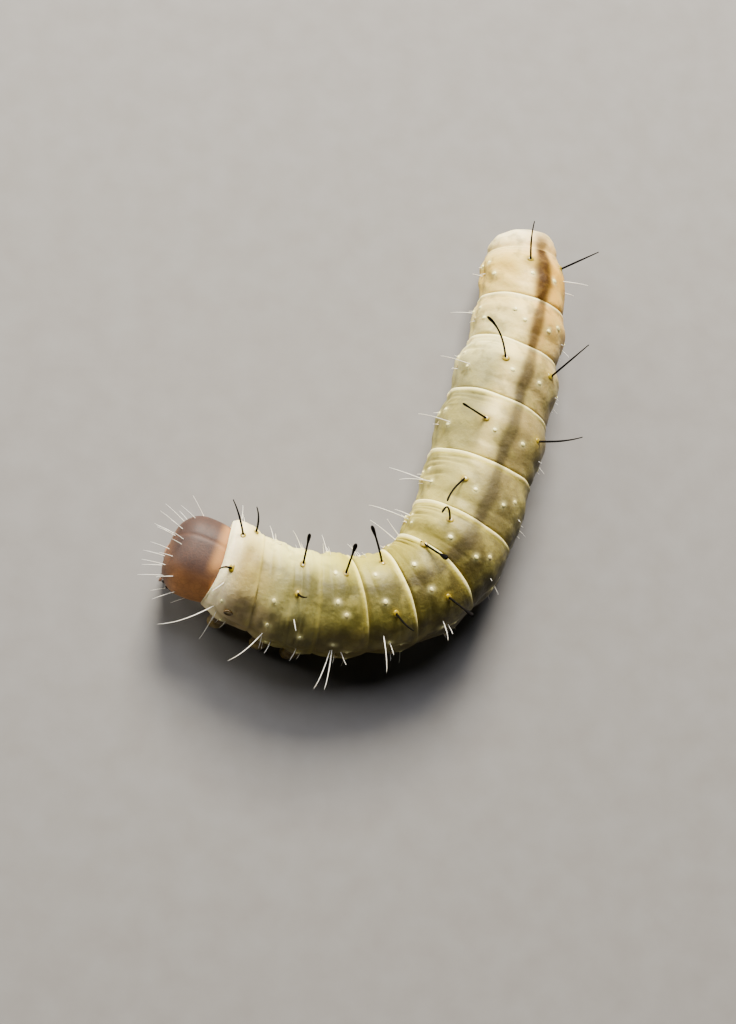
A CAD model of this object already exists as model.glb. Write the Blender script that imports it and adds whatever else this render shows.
# %% [markdown]
# A dagger moth larva at life size, resting in a hooked curve. Each cell below makes one part of the animal
# or one of its finishes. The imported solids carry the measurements, so they are loaded first, and every
# finer surface is then drawn over them in the same frame.

# %% Frame
import math
from collections import namedtuple

import bpy
import numpy as np
from mathutils import Matrix, Vector


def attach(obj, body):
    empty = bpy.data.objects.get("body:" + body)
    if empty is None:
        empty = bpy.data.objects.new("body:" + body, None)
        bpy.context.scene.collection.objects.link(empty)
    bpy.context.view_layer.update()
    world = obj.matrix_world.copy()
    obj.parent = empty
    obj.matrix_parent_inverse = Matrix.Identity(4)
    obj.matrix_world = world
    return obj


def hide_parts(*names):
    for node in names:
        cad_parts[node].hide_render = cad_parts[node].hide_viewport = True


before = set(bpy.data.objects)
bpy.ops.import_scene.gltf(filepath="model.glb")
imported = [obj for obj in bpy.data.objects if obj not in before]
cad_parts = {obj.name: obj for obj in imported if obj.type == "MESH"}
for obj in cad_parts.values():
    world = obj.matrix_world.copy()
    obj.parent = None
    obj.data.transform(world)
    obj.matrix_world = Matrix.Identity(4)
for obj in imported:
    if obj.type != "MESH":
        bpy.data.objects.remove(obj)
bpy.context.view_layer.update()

MM = 0.001
print("nodes:", len(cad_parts))

# %% [markdown]
# Colours are picked by eye as sRGB hex codes, the way a paint program shows them. The shader works in
# linear light, so one function converts them. A second small function adds a node, sets it up and links its
# inputs.

# %% Colour and node helpers


def linear(code):
    """A hex colour in linear light: c / 12.92 where a channel is dark, else ((c + 0.055) / 1.055) ** 2.4."""
    srgb = np.array([int(code[i : i + 2], 16) for i in (1, 3, 5)]) / 255
    bright = ((srgb + 0.055) / 1.055) ** 2.4
    return (*np.where(srgb <= 0.04045, srgb / 12.92, bright).tolist(), 1.0)


def node(tree, kind, inputs=None, stops=None, **settings):
    """Adds one node. Inputs are values or outputs to link, and stops are a ramp's (position, hex) pairs."""
    made = tree.nodes.new("ShaderNode" + kind)
    for name, value in settings.items():
        setattr(made, name, value)
    for name, value in (inputs or {}).items():
        if isinstance(value, bpy.types.NodeSocket):
            tree.links.new(value, made.inputs[name])
        else:
            made.inputs[name].default_value = value
    if stops:
        ramp = made.color_ramp
        while len(ramp.elements) < len(stops):
            ramp.elements.new(0.5)
        for element, (position, code) in zip(ramp.elements, stops):
            element.position = position
            element.color = linear(code)
    return made


def new_material(name, **values):
    """A material whose Principled shader has these values set on its own sockets."""
    material = bpy.data.materials.new(name)
    material.use_nodes = True
    shader = material.node_tree.nodes["Principled BSDF"]
    for key, value in values.items():
        shader.inputs[key.replace("_", " ")].default_value = value
    return material, material.node_tree, shader


print("white in linear light:", linear("#FFFFFF"))

# %% [markdown]
# Every soft or hard part here is a closed tube: rows of points that run round a path, with a pole at each
# end. The legs, the bristles and even the head are such tubes, so one function gives the faces of them all.
# It also gives each face corner its place on the unrolled tube, which becomes the UV map.

# %% Closed tubes


def tube_faces(rows, columns):
    """Quads between neighbouring rows and a fan at each pole, with (u, v) = (column, row) shares per corner.

    Point row * columns + column is on the wall. The two points after the wall are the first and last pole.
    """

    def unrolled(column, row):
        return np.stack(np.broadcast_arrays(column / columns, (row + 1) / (rows + 1)), -1)

    row, column = (grid.reshape(-1, 1) for grid in np.indices((rows - 1, columns)))
    row, column = row + [0, 0, 1, 1], column + [0, 1, 1, 0]
    quads = row * columns + column % columns
    ring, wall = np.arange(columns)[:, None], rows * columns
    fans, fans_uv = [], []
    for pair, end_row, pole, pole_row in (((1, 0), 0, wall, -1), ((0, 1), rows - 1, wall + 1, rows)):
        edge = end_row * columns + (ring + pair) % columns
        fans.append(np.append(edge, ring * 0 + pole, axis=1))
        fans_uv.append(unrolled(ring + [*pair, 0.5], np.array([end_row, end_row, pole_row])))
    return (quads, unrolled(column, row)), (np.concatenate(fans), np.concatenate(fans_uv))


def closed(grids):
    """Each tube's points in one row with its two poles last, which are the middles of its end rings."""
    poles = np.stack([grids[:, 0].mean(1), grids[:, -1].mean(1)], 1)
    return np.concatenate([grids.reshape(len(grids), -1, *grids.shape[3:]), poles], 1)


print("faces of a 3 by 4 tube:", [len(faces) for faces, uv in tube_faces(3, 4)])

# %% [markdown]
# Many tubes of one finish are joined into one piece. Each gets its own patch of the map: a cell of a square
# grid, or a tiny patch at the place on the skin's map where it grows. Faces have to point outwards, and on
# a closed surface that can be measured: the volume that they enclose comes out negative if they look
# inwards.

# %% The map and the outside of a tube
CELL_GAP = 0.05
ROOT_PATCH = 0.003


def map_cells(count):
    """Corner and size of each tube's cell: (i % side, i // side) in a square grid, with a gap round it."""
    side = math.ceil(math.sqrt(count))
    gap = CELL_GAP if count > 1 else 0
    cell = np.stack([np.arange(count) % side, np.arange(count) // side], -1)
    return (cell + gap) / side, (1 - 2 * gap) / side


def enclosed(points, faces):
    """The volume inside: a sixth of the sum of a . (b x c) over all triangles."""
    total = 0.0
    for k in range(1, faces.shape[1] - 1):
        first, second, third = (points[faces[:, corner]] for corner in (0, k, k + 1))
        total += np.sum(first * np.cross(second, third)) / 6
    return total


print("cells of a map for 3 tubes:", map_cells(3)[0].tolist())

# %% [markdown]
# With faces and a map at hand, one function makes every piece of the larva. It fills the mesh with whole
# arrays, stores the numbers that a material needs on its points, and registers the piece with the frame.

# %% From tubes to a piece


def make_tubes(name, grids, material, nodes, roots=None, values=None):
    """One piece of tubes in millimetres, tubes by rows by columns, which stands for the named nodes."""
    roots, patch = map_cells(len(grids)) if roots is None else (roots, ROOT_PATCH)
    points = closed(grids)
    first_points = np.arange(len(grids))[:, None, None] * points.shape[1]
    points = points.reshape(-1, 3)
    groups = []
    for faces, uv in tube_faces(*grids.shape[1:3]):
        uv = roots[:, None, None] + uv * patch
        groups.append(((faces + first_points).reshape(-1, faces.shape[1]), uv.reshape(-1, *uv.shape[2:])))
    if sum(enclosed(points, faces) for faces, uv in groups) < 0:
        groups = [(faces[:, ::-1], uv[:, ::-1]) for faces, uv in groups]

    mesh = bpy.data.meshes.new(name)
    corners = np.concatenate([faces.ravel() for faces, uv in groups]).astype(np.int32)
    sizes = np.concatenate([np.full(len(faces), faces.shape[1]) for faces, uv in groups])
    mesh.vertices.add(len(points))
    mesh.vertices.foreach_set("co", (points * MM).ravel().astype(np.float32))
    mesh.loops.add(len(corners))
    mesh.loops.foreach_set("vertex_index", corners)
    mesh.polygons.add(len(sizes))
    mesh.polygons.foreach_set("loop_start", (np.cumsum(sizes) - sizes).astype(np.int32))
    mesh.update(calc_edges=True)
    corner_uv = np.concatenate([uv.ravel() for faces, uv in groups]).astype(np.float32)
    mesh.uv_layers.new(name="OFBake").data.foreach_set("uv", corner_uv)
    for key, numbers in (values or {}).items():
        numbers = closed(np.broadcast_to(numbers, grids.shape[:3])).ravel().astype(np.float32)
        mesh.attributes.new(key, "FLOAT", "POINT").data.foreach_set("value", numbers)
    mesh.shade_smooth()
    mesh.materials.append(material)

    piece = bpy.data.objects.new(name, mesh)
    bpy.context.scene.collection.objects.link(piece)
    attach(piece, "root")
    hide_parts(*nodes)
    print(f"{name}: {len(points)} points, {int(sizes.sum() - 2 * len(sizes))} triangles")


print("every piece carries the map OFBake")

# %% [markdown]
# The trunk is ring after ring of soft skin. Its centreline is one smooth curve through the folds between
# the segments, and at every place on it the body is an oval that looks along the curve. These are the
# driving sizes of that oval, in millimetres, for each segment from behind the head to the tail.

# %% The trunk's driving sizes
NECK = (-7.80, -6.68)
NECK_FACING = -20.0
NECK_WIDTH = 4.4
FLATNESS = 0.92
TAIL_BLUNTNESS = 2.05

# length and course: the chord to the rear fold. facing: where the rear fold looks. width and waist: widths at
# the middle and the rear fold. roll: lean of the back's midline to the left. belly: its height off the floor.
Segment = namedtuple("Segment", "name length course facing width waist roll belly")
SEGMENTS = (
    Segment("thorax_1", 2.12, -28.2, -8, 4.85, 4.78, -12, 0.95),
    Segment("thorax_2", 1.71, -23.0, -3, 5.00, 4.92, -12, 0.90),
    Segment("thorax_3", 1.41, -7.0, -2, 5.08, 4.95, -11, 0.85),
    Segment("abdomen_1", 2.14, 1.0, 15, 5.12, 4.88, -5, 0.80),
    Segment("abdomen_2", 2.16, 14.2, 27, 4.98, 4.85, -4, 0.75),
    Segment("abdomen_3", 2.32, 36.2, 49, 5.15, 5.10, -1, 0.70),
    Segment("abdomen_4", 2.72, 60.8, 64, 5.55, 5.28, 6, 0.70),
    Segment("abdomen_5", 3.13, 73.1, 69, 5.55, 5.36, 10, 0.70),
    Segment("abdomen_6", 3.54, 73.1, 71, 5.72, 5.22, 12, 0.70),
    Segment("abdomen_7", 3.28, 74.1, 72, 5.46, 4.75, 12.5, 0.65),
    Segment("abdomen_8", 2.82, 78.0, 76, 4.92, 4.50, 13, 0.60),
    Segment("abdomen_9", 3.09, 86.4, 86, 4.46, 3.75, 17, 0.50),
    Segment("abdomen_10", 1.40, 82.0, 90, 3.60, 3.30, 22, 0.45),
)
TAIL = len(SEGMENTS)
STARTS = {segment.name: index for index, segment in enumerate(SEGMENTS)}
LENGTHS = np.array([segment.length for segment in SEGMENTS])
MIDDLES = np.arange(TAIL) + 0.5
WIDTH_PLACES = np.arange(2 * TAIL + 1) / 2
WIDTHS = np.array([NECK_WIDTH] + [width for segment in SEGMENTS for width in (segment.width, segment.waist)])
FACINGS = np.array([NECK_FACING] + [segment.facing for segment in SEGMENTS])
courses = np.radians([segment.course for segment in SEGMENTS])
chords = LENGTHS[:, None] * np.stack([np.cos(courses), np.sin(courses)], -1)
FOLDS = np.concatenate([[NECK], NECK + np.cumsum(chords, axis=0)])
print("length along the folds:", round(LENGTHS.sum(), 1), "mm")

# %% [markdown]
# A place is a number: 0 at the neck, 1 at the first fold and so on to 13 at the tail's tip. With the angle
# around, from the back's top towards the larva's left, it names every point of the skin. All functions take
# whole arrays of places and angles, so the complete skin is worked out at once.

# %% Rings along the centreline
UP = np.array([0.0, 0.0, 1.0])


def curve_through(points, place):
    """A Catmull-Rom curve: cubics between the points, with half the chord across each point as its slope."""
    i = np.clip(np.asarray(place).astype(int), 0, len(points) - 2)
    t = (place - i)[..., None]
    before, start, end, after = (points[np.clip(i + step, 0, len(points) - 1)] for step in (-1, 0, 1, 2))
    near = start * (2 * t**3 - 3 * t**2 + 1) + end * (3 * t**2 - 2 * t**3)
    return near + (end - before) / 2 * (t**3 - 2 * t**2 + t) + (after - start) / 2 * (t**3 - t**2)


def rearward(place):
    """Unit direction in plan, away from the head, in which the ring at this place faces."""
    facing = np.radians(np.interp(place, np.arange(TAIL + 1), FACINGS))
    return np.stack([np.cos(facing), np.sin(facing), 0 * facing], -1)


def leftward(place):
    """Unit direction in plan towards the larva's left."""
    rear = rearward(place)
    return np.stack([rear[..., 1], -rear[..., 0], 0 * rear[..., 0]], -1)


def half_width(place):
    """Half widths before the tail is rounded, joined by a + (b - a) * (1 - cos(pi t)) / 2."""
    i = np.clip(np.searchsorted(WIDTH_PLACES, place, side="right") - 1, 0, len(WIDTHS) - 2)
    t = np.clip((place - WIDTH_PLACES[i]) / (WIDTH_PLACES[i + 1] - WIDTH_PLACES[i]), 0, 1)
    return (WIDTHS[i] + (WIDTHS[i + 1] - WIDTHS[i]) * (1 - np.cos(np.pi * t)) / 2) / 2


def tail_share(place):
    """What is left of the ring as the tail closes: (1 - past ** n) ** (1 / n), with past from 0 to 1."""
    past = np.clip(place - (TAIL - 1), 0, 1)
    return np.clip(1 - past**TAIL_BLUNTNESS, 0, 1) ** (1 / TAIL_BLUNTNESS)


def outward(place, around):
    """Unit direction out of the oval: its two axes weighted by the sine and cosine over their half sizes."""
    angle = np.radians(around)[..., None]
    side = leftward(place) * np.sin(angle) + UP * np.cos(angle) / FLATNESS
    return side / np.linalg.norm(side, axis=-1, keepdims=True)


def plain_body(place, around):
    """The oval's point: a centre one half height over the belly, plus the half sizes to the left and up."""
    angle = np.radians(around)[..., None]
    belly = np.interp(place, MIDDLES, [segment.belly for segment in SEGMENTS])
    height = belly + half_width(place) * FLATNESS
    middle = np.append(curve_through(FOLDS, place), height[..., None], axis=-1)
    half = (half_width(place) * tail_share(place))[..., None]
    return middle + leftward(place) * half * np.sin(angle) + UP * half * FLATNESS * np.cos(angle)


print("tail's tip in plan:", curve_through(FOLDS, float(TAIL)).round(2))

# %% [markdown]
# A real larva's skin is never smooth, but it is uneven in an orderly way: every form on it starts from a
# fold or from the midline. So a few helpers come first that tell how far a point is from these. The folds
# sway to and fro round the real body, and so does the line that they are measured from.

# %% Distances on the skin
# How far each fold lies behind its place, in millimetres: on the inner side, the back and the outer side.
FOLD_SWAY = np.array(
    [
        *[(0.0, 0.0, 0.0)] * 4,
        (-0.1, -0.1, -0.2),
        (0.1, -0.1, -0.3),
        (-0.4, 0.0, -0.2),
        (-0.3, -0.5, -0.15),
        (-0.4, -0.4, 0.0),
        (-0.25, -0.45, -0.4),
        (-0.15, -0.38, -0.1),
        (-0.4, -0.3, -0.25),
        (-0.2, -0.2, -0.2),
        (0.0, 0.0, 0.0),
    ]
)
SWAY_SIDES, SWAY_WIDTH = np.array([-70.0, 0.0, 70.0]), 45


def bell(distance, reach):
    """1 at no distance and 0.37 at the reach: exp(-(d / reach) ** 2)."""
    return np.exp(-((distance / reach) ** 2))


def roll(place):
    """Angle of the back's true midline, which leans a little to the left or right along the body."""
    return np.interp(place, MIDDLES, [segment.roll for segment in SEGMENTS])


def along_segment(place):
    """Segment index, share of its length, and the distances in millimetres to its front and rear folds."""
    index = np.clip(place.astype(int), 0, TAIL - 1)
    share = place - index
    return index, share, share * LENGTHS[index], (1 - share) * LENGTHS[index]


def sway(place, around):
    """How far the folds are moved, as a share of the segment: its three sizes weighted by bells round it."""
    index, share, _, _ = along_segment(place)
    share = np.clip(share, 0, 1)[..., None]
    sizes = FOLD_SWAY[index] * (1 - share) + FOLD_SWAY[index + 1] * share
    weights = bell((around - roll(place))[..., None] - SWAY_SIDES, SWAY_WIDTH)
    return (sizes * weights).sum(-1) / (weights.sum(-1) + 0.1) / np.interp(place, MIDDLES, LENGTHS)


print("widest sway of a fold:", np.abs(FOLD_SWAY).max(), "mm")

# %% [markdown]
# Each segment's rear edge is a soft lip that laps over the next one, with a groove behind it. Such forms
# are heights over the plain oval, each written as a bell curve of a distance in millimetres.

# %% Folds between the segments
FOLD_DEPTH = 0.24
FOLD_STRENGTH = np.array([0.2, 0.3, 0.16, 0.32, 0.7, 0.95, 1.0, 1.0, 1.0, 0.9, 0.8, 0.8, 0.3, 0.0])
THORAX_FOLDS = 4
# Angle and reach of the stretch where thorax folds are clear, and of the one where abdomen folds fade.
CLEAR_ANGLE, CLEAR_REACH, CLEAR_LEAST = 70, 38, 0.35
FADED_ANGLE, FADED_REACH, FADED_SHARE = 98, 45, 0.84
# How much the folds weaken under the belly and deepen on the inner side of the bend, with their reaches.
UNDER_SHARE, UNDER_REACH = 0.5, 60
INNER_SHARE, INNER_ANGLE, INNER_REACH = 0.45, -75, 40
GROOVE_BEHIND, GROOVE_BEFORE, GROOVE_SOFTNESS = 0.10, 0.055, 0.16
SLOPE_BEHIND, SLOPE_BEHIND_REACH = 0.45, 0.38
SLOPE_BEFORE, SLOPE_BEFORE_REACH = 0.12, 0.3
LIP_HEIGHT, LIP_BEFORE, LIP_REACH, LIP_EDGE_REACH = 0.08, 0.11, 0.075, 0.045
GLOW_BEFORE, GLOW_REACH, GLOW_LEAST, GLOW_ANGLE, GLOW_SPREAD = 0.13, 0.1, 0.35, -20, 45
# A small nick in the first fold, left of the midline.
NICK_DEPTH, NICK_PLACE, NICK_AROUND, NICK_LENGTH, NICK_SPREAD = 0.09, 0.99, 30, 0.045, 9


def fold_strength(fold, side):
    """A thorax fold is soft on the back and clear on the outer flank, where an abdomen fold fades out."""
    thorax = CLEAR_LEAST + (1 - CLEAR_LEAST) * bell(side - CLEAR_ANGLE, CLEAR_REACH)
    abdomen = 1 - FADED_SHARE * bell(side - FADED_ANGLE, FADED_REACH)
    return FOLD_STRENGTH[fold] * np.where(fold < THORAX_FOLDS, thorax, abdomen)


def fold_relief(place, around):
    """Height of the folds: a groove and a slope at each fold and a lip before it, weaker under the belly.

    The lip and its glow are given too, each from 0 to 1, because the skin's colours need them.
    """
    index, share, behind, before = along_segment(place)
    side = around - roll(place)
    front, rear = fold_strength(index, side), fold_strength(index + 1, side)
    under = 1 - UNDER_SHARE * bell(np.abs(around) - 180, UNDER_REACH)
    under = under + INNER_SHARE * bell(around - INNER_ANGLE, INNER_REACH)
    soft = GROOVE_SOFTNESS * (1 - front)
    groove = front * bell(behind, GROOVE_BEHIND + soft)
    groove = groove + rear * bell(before, GROOVE_BEFORE + soft) * (share > 0)
    slope = SLOPE_BEHIND * front * np.exp(-behind / SLOPE_BEHIND_REACH)
    slope = slope + SLOPE_BEFORE * rear * np.exp(-before / SLOPE_BEFORE_REACH)
    lip = rear * bell(before - LIP_BEFORE, LIP_REACH) * (1 - bell(before, LIP_EDGE_REACH))
    spread = GLOW_LEAST + (1 - GLOW_LEAST) * bell(side - GLOW_ANGLE, GLOW_SPREAD)
    glow = rear * bell(before - GLOW_BEFORE, GLOW_REACH) * spread
    nick = bell((place - NICK_PLACE) * LENGTHS[0], NICK_LENGTH) * bell(around - NICK_AROUND, NICK_SPREAD)
    height = LIP_HEIGHT * lip - FOLD_DEPTH * (groove + slope) / (1 + SLOPE_BEHIND)
    return height * under - NICK_DEPTH * nick, lip * under, glow * under


print("folds:", TAIL - 1, "deepest", FOLD_DEPTH, "mm")

# %% [markdown]
# Before each fold the skin is pressed into fine creases, most of all on the inner side of the bend. They
# are wavy and uneven on the animal, so a seeded draw varies the depth, width, slant and middle of each one.

# %% Wrinkles
WRINKLE_DEPTH, WRINKLE_HALF = 0.085, 0.07
WRINKLE_ROWS, FIRST_WRINKLE, WRINKLE_SPACING = 4, 0.33, 0.27
# Angle of the creased stretch's middle, its step from row to row and its reach, on either side.
INNER_STRETCH, INNER_STEP, INNER_SPREAD = -50, -10, 24
OUTER_STRETCH, OUTER_STEP, OUTER_SPREAD = 56, 6, 22
INNER_WRINKLES = np.array([0.2, 0.3, 0.45, 0.8, 1.0, 1.1, 1.3, 1.3, 0.9, 0.7, 0.5, 0.4, 0.2])
OUTER_WRINKLES = np.array([0.1, 0.2, 0.55, 0.4, 0.4, 0.2, 0.2, 0.2, 0.2, 0.2, 0.2, 0.2, 0.1])
# One shallow crease crosses the back of every segment at this share of its length.
CREASE_DEPTH, CREASE_SHARE, CREASE_HALF, CREASE_SPREAD = 0.022, 0.27, 0.035, 75

wrinkle_rng = np.random.default_rng(21)
wrinkle_draws = wrinkle_rng.uniform(-1, 1, (5, WRINKLE_ROWS, TAIL))


def wrinkle_relief(place, around):
    """Creases before each rear fold: bells of the distance to a slanting wave, which fade out sideways."""
    index, share, _, before = along_segment(place)
    side = around - roll(place)
    height = 0 * place
    for row, (depth, width, slant, middle, wave) in enumerate(wrinkle_draws.transpose(1, 0, 2)[..., index]):
        ripple = 0.04 * np.sin(np.radians(side * 2.6) + 6 * wave)
        at = FIRST_WRINKLE + WRINKLE_SPACING * (row + 0.3 * wave) + ripple + 0.0022 * slant * side
        inner = bell(side - INNER_STRETCH - INNER_STEP * row + 9 * middle, INNER_SPREAD + 6 * slant)
        outer = bell(side - OUTER_STRETCH - OUTER_STEP * row + 8 * middle, OUTER_SPREAD)
        reach = INNER_WRINKLES[index] * inner + OUTER_WRINKLES[index] * outer
        line = bell(before - at, WRINKLE_HALF + 0.025 * width)
        height -= WRINKLE_DEPTH * (0.75 + 0.4 * depth) * reach * line * (share < 0.99)
    crease = bell(share - CREASE_SHARE - 0.02 * np.sin(np.radians(side * 3)), CREASE_HALF)
    return height - CREASE_DEPTH * crease * bell(side, CREASE_SPREAD)


print("wrinkles:", WRINKLE_ROWS * TAIL)

# %% [markdown]
# Three larger forms complete the relief: the soft roll of skin behind the head, a ridge along each flank
# below the breathing holes, and a slow unevenness of the flesh. The last is a sum of a few long waves,
# because a surface that is even everywhere looks like plastic.

# %% Collar, flanks and flesh
COLLAR_SWELL, COLLAR_BEHIND, COLLAR_REACH = 0.11, 0.3, 0.28
FLANK_RIDGE = 0.11
FLANK_ANGLE = 104.0
DIMPLE_DEPTH = 0.05
SWELLS = 14
SWELL_HEIGHT = 0.008

swell_rng = np.random.default_rng(11)
swell_waves = np.stack(
    [
        swell_rng.uniform(1.5, 7.5, SWELLS),
        swell_rng.integers(-9, 10, SWELLS),
        swell_rng.uniform(0, 2 * np.pi, SWELLS),
    ],
    -1,
)
ARC = np.concatenate([[0], np.cumsum(LENGTHS)])


def collar_relief(place, around):
    """The soft roll of skin behind the head, a bell both ways, which stands up on the back."""
    return COLLAR_SWELL * bell(place * LENGTHS[0] - COLLAR_BEHIND, COLLAR_REACH) * bell(around + 10, 65)


def flank_relief(place, around):
    """A bell for the ridge, less one for the crease on each side of it, and a dimple above, along a wave."""
    index, share, _, _ = along_segment(place)
    side = np.abs(around) + 3 * np.sin(2 * np.pi * share + index)
    middle = np.sin(np.pi * np.clip(share, 0, 1)) ** 0.6 * (index < TAIL - 1)
    over = side - FLANK_ANGLE
    ridge = bell(over, 10) - 0.8 * bell(over + 16, 6) - 0.7 * bell(over - 17, 8)
    dimple = bell(side - 66, 9) * bell(share - 0.3, 0.09)
    return FLANK_RIDGE * ridge * middle - DIMPLE_DEPTH * dimple


def swell_relief(place, around):
    """Soft unevenness of the flesh: a sum of sin(pace * arc + turns * angle + phase) over the drawn waves."""
    arc = np.interp(place, np.arange(TAIL + 1), ARC)
    total = 0 * place
    for pace, turns, phase in swell_waves:
        total = total + np.sin(pace * arc + turns * np.radians(around) + phase)
    return SWELL_HEIGHT * total


print("flesh waves:", len(swell_waves))

# %% [markdown]
# Sparse black bristles stand on the back. Each one points its own way, as on the real animal in this pose,
# so they are a table: where each one grows, its length, and its directions at the root and at the tip.

# %% Bristles on the back
# lean and toward: the bristle's direction at its root, as the angle from straight out and the heading of
# that lean, 0 forwards and 90 to the left. tip_lean and tip_toward: its direction at the tip. club: 1 for a
# full paddle.
Bristle = namedtuple("Bristle", "segment along around length lean toward tip_lean tip_toward club")
BRISTLES = (
    Bristle("thorax_1", 0.42, -29, 1.9, 35, -40, 40, -15, 0),
    Bristle("thorax_1", 0.71, -51, 1.5, 15, 90, 30, 15, 0),
    Bristle("thorax_1", 0.38, 15, 0.8, 55, 0, 60, 55, 0),
    Bristle("thorax_3", 0.28, -29, 1.8, 10, -95, 10, -95, 0.6),
    Bristle("thorax_3", 0.14, 8, 1.5, 20, 105, 15, 170, 0),
    Bristle("abdomen_1", 0.59, -22, 1.9, 15, -135, 15, -135, 0.75),
    Bristle("abdomen_2", 0.67, -38, 2.1, 15, -90, 15, -45, 0.65),
    Bristle("abdomen_2", 0.49, 28, 1.9, 20, 85, 15, 130, 0),
    Bristle("abdomen_3", 0.87, -30, 1.7, 80, 85, 80, 90, 1),
    Bristle("abdomen_3", 0.54, 34, 1.9, 20, 85, 20, 90, 0.75),
    Bristle("abdomen_4", 0.62, -20, 1.95, -20, 25, 70, 10, 0.3),
    Bristle("abdomen_5", 0.44, -21, 1.9, 65, -15, 70, 10, 0.3),
    Bristle("abdomen_6", 0.45, -17, 1.9, 35, -75, 35, -75, 0.35),
    Bristle("abdomen_6", 0.51, 47, 2.3, 45, 120, 55, 140, 0),
    Bristle("abdomen_7", 0.48, -15, 2.4, 55, -155, 55, -100, 0.55),
    Bristle("abdomen_7", 0.54, 42, 2.5, 45, 180, 45, 180, 0),
    Bristle("abdomen_9", 0.57, -3, 2.1, 45, -160, 40, 180, 0),
    Bristle("abdomen_9", 0.68, 59, 2.2, 20, -160, 20, -160, 0),
)
print("bristles:", len(BRISTLES))

# %% [markdown]
# The warts that carry bristles and hairs sit in a fixed plan on every segment, mirrored left and right of
# the midline. Those of the black bristles are mustard yellow, and the others are small, pale and waxy. One
# list of warts drives the bumps, their colours and later the waxy domes.

# %% Where the warts are
# Warts as (share of the segment, angle from the midline, yellow), on both sides of every segment. Yellow
# ones are left out on a side where a bristle of the table above has its own wart.
ABDOMEN_PLAN = ((0.34, 17, 0.15), (0.5, 31, 0.35), (0.3, 72, 0), (0.55, 84, 0), (0.58, 107, 0), (0.5, 128, 0))
THORAX_PLAN = ((0.45, 38, 0.35), (0.4, 70, 0), (0.5, 108, 0))
# Height and reach of a bristle's wart and of a planned one, and what is added to the reach further back.
BRISTLE_WART, PLANNED_WART = (0.035, 0.2), (0.028, 0.16)
WIDER_FROM, WIDER_BY = STARTS["abdomen_6"], 0.09
# The yellow round a wart reaches further across the body than along it.
PATCH_LENGTH, PATCH_WIDTH = 0.75, 1.2
# A planned wart that is at least this yellow is a bristle's.
BRISTLE_YELLOW = 0.3

Wart = namedtuple("Wart", "place around height reach yellow")
WARTS = []
for b in BRISTLES:
    start, (height, reach) = STARTS[b.segment], BRISTLE_WART
    WARTS.append(Wart(start + b.along, b.around, height, reach + WIDER_BY * (start >= WIDER_FROM), 1.0))
for index, segment in enumerate(SEGMENTS[:-1]):
    taken = {math.copysign(1, b.around - segment.roll) for b in BRISTLES if b.segment == segment.name}
    for share, angle, yellow in THORAX_PLAN if index < 3 else ABDOMEN_PLAN:
        for side in (1, -1):
            if yellow < BRISTLE_YELLOW or side not in taken:
                WARTS.append(Wart(index + share, segment.roll + side * angle, *PLANNED_WART, yellow))


def wart_relief(place, around):
    """Sum of low round bumps, and the spread of yellow and of pale colour over them, all bell-shaped."""
    index = along_segment(place)[0]
    across = np.radians(1.0) * half_width(place)
    height, yellow, pale = 0 * place, 0 * place, 0 * place
    for wart in WARTS:
        down = (place - wart.place) * LENGTHS[index]
        over = (around - wart.around) * across
        bump = np.exp(-((down**2 + over**2) / wart.reach**2))
        height = height + wart.height * bump
        patch = (down / PATCH_LENGTH) ** 2 + (over / PATCH_WIDTH) ** 2
        yellow = yellow + wart.yellow * np.exp(-patch / wart.reach**2)
        pale = pale + (1 - wart.yellow) * bump
    return height, np.clip(yellow, 0, 1), np.clip(pale, 0, 1)


print("warts:", len(WARTS))

# %% [markdown]
# Ten fleshy prolegs hold the larva up, four pairs under the middle of the abdomen and one pair at its tail.
# They are the same skin as the belly, so they are not added but drawn out of it: inside a circle round each
# proleg's axis the belly is pulled down to the floor, into a steep wall and a flat sole.

# %% Prolegs drawn out of the belly
# away, trail and reach: the axis's distance from the midline and towards the tail, and the circle's radius.
Foot = namedtuple("Foot", "segment along side away trail reach")
FEET = [Foot(f"abdomen_{number}", 0.55, side, 1.34, 0.0, 1.02) for number in (3, 4, 5, 6) for side in (1, -1)]
FEET += [Foot("abdomen_10", 0.42, side, 1.03, 0.33, 0.86) for side in (1, -1)]
LOW_ANGLE = 95
# Shares of a foot's circle, with the radius and the height over the floor that each share is drawn to.
FOOT_SHARES = np.array([0.0, 0.40, 0.46, 0.52, 0.60, 0.72, 0.86, 1.0])
FOOT_RADII = np.array([0.0, 0.44, 0.50, 0.53, 0.56, 0.62, 0.78, 1.0])
FOOT_HEIGHTS = np.array([0.0, 0.0, 0.03, 0.16, 0.42, 0.74, 0.94, 1.0])


def foot_axes(foot):
    """Where the foot's axis meets the floor, in plan, and the body's directions to the left and rear."""
    place = STARTS[foot.segment] + foot.along
    left, rear = leftward(place), rearward(place)
    return curve_through(FOLDS, place) + (left * foot.side * foot.away + rear * foot.trail)[:2], left, rear


def draw_feet(points, around):
    """Belly points near each foot's axis, moved to the foot's profile at their share of its circle."""
    for foot in FEET:
        axis = foot_axes(foot)[0]
        away = points[..., :2] - axis
        distance = np.linalg.norm(away, axis=-1)
        share = distance / foot.reach
        radius = np.interp(share, FOOT_SHARES, FOOT_RADII * foot.reach)
        plan = axis + away / np.maximum(distance, 1e-6)[..., None] * radius[..., None]
        height = points[..., 2] * np.interp(share, FOOT_SHARES, FOOT_HEIGHTS)
        near = (share < 1) & (np.abs(around) > LOW_ANGLE)
        points = np.where(near[..., None], np.append(plan, height[..., None], axis=-1), points)
    return points


print("feet:", len(FEET))

# %% [markdown]
# Now the skin itself. Its rows crowd together at the folds, where the form is finest, and its columns crowd
# together on the back, which is seen most. At the neck the skin rolls inwards to the head's rear rim, and
# at the tail it closes in a point, so it is one sealed surface.

# %% The skin's surface
LIP_LAP = 0.11
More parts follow.
